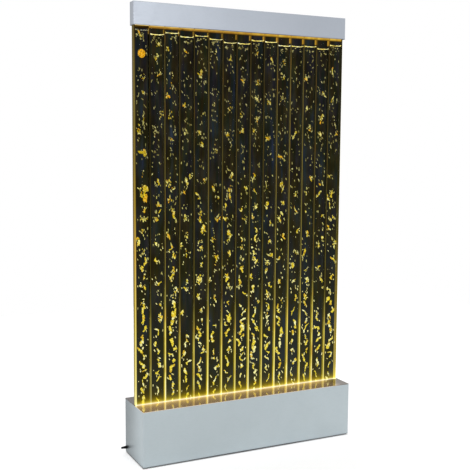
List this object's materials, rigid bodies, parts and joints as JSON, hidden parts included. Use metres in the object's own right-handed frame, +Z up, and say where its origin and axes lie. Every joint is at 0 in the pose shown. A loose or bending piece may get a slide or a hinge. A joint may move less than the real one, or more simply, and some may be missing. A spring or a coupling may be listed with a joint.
{
  "type": "bubble wall panel",
  "caption": "Free-standing bubble wall: a tall flat water panel of lit upright channels in a metal base box, with a lift-off metal cap.",
  "frame": {"origin": "on the floor, under the middle of the panel and of the base box", "axes": "+Z up, front towards -Y, +X to the right as seen from the front"},
  "size_m": [1.026, 0.2294, 1.895],
  "materials": {
    "satin_steel": "satin",
    "polished_steel": "polished",
    "plain_steel": "satin",
    "clear_acrylic": "gloss",
    "lit_acrylic": "gloss",
    "black_sheet": "gloss",
    "water": "gloss",
    "brass": "satin",
    "aluminium": "satin",
    "circuit_board": "matte",
    "light_chip": "gloss",
    "black_rubber": "matte",
    "black_foam": "matte",
    "clear_tube": "gloss",
    "grey_plastic": "satin",
    "black_plastic": "satin",
    "white_plastic": "satin",
    "dark_iron": "satin",
    "copper_winding": "gloss",
    "black_lead": "satin"
  },
  "bodies": {
    "stand": {"base_housing": "satin_steel", "bottom_plate": "plain_steel", "top_plate_front": "polished_steel", "top_plate_rear": "polished_steel", "rubber_feet": "black_rubber", "panel_stands": "plain_steel", "stand_screws": "plain_steel", "slot_packers": "black_rubber", "panel_seal": "black_rubber", "front_sheet": "clear_acrylic", "rear_sheet": "clear_acrylic", "backing_sheet": "black_sheet", "left_end_wall": "lit_acrylic", "right_end_wall": "lit_acrylic", "channel_ribs": "lit_acrylic", "channel_floor": "clear_acrylic", "air_nozzles": "brass", "water_columns": "water", "header_strips": "lit_acrylic", "light_channel": "aluminium", "light_board": "circuit_board", "light_chips": "light_chip", "air_manifold": "grey_plastic", "manifold_clips": "grey_plastic", "air_tubes": "clear_tube", "pump_case": "black_plastic", "pump_cover": "black_plastic", "pump_feet": "black_rubber", "pump_valve_block": "grey_plastic", "pump_bellows": "black_rubber", "pump_core": "dark_iron", "pump_coil": "copper_winding", "pump_pivot_bracket": "grey_plastic", "pump_pivot_pin": "plain_steel", "check_valve": "grey_plastic", "pump_hoses": "clear_tube", "power_supply_case": "aluminium", "power_supply_board": "circuit_board", "power_supply_parts": "black_plastic", "terminal_block": "white_plastic", "light_controller": "white_plastic", "mains_leads": "black_lead", "low_voltage_leads": "black_lead", "switch_bezel": "black_plastic", "wall_hinge_leaf": "plain_steel", "hinge_pin": "plain_steel", "door_catches": "dark_iron", "gland_body": "black_plastic", "gland_locknut": "black_plastic"},
    "cap": {"cap_shell": "satin_steel", "cap_bridges": "plain_steel", "cap_pads": "black_rubber", "cap_guides": "black_foam"},
    "door": {"service_door": "satin_steel", "door_hinge_leaf": "plain_steel"},
    "rocker": {"switch_rocker": "black_plastic"},
    "arm": {"pump_arm": "grey_plastic", "pump_magnet": "dark_iron"}
  },
  "joints": [
    {"name": "cap_lift", "type": "slide", "parent": "stand", "child": "cap", "axis": [0, 0, 1], "range_m": [0, 0.12]},
    {"name": "door_swing", "type": "hinge", "parent": "stand", "child": "door", "pos_m": [-0.42817, 0.11, 0.12], "axis": [0, 0, 1], "range_deg": [0, 95]},
    {"name": "switch_rock", "type": "hinge", "parent": "stand", "child": "rocker", "pos_m": [-0.1, 0.1134, 0.12], "axis": [1, 0, 0], "range_deg": [0, 16]},
    {"name": "pump_arm_rock", "type": "hinge", "parent": "stand", "child": "arm", "pos_m": [-0.27617, 0.062, 0.058], "axis": [0, 1, 0], "range_deg": [-1.5, 1.5], "stiffness_Nm_per_rad": 5, "deforming": ["pump_bellows"]}
  ]
}
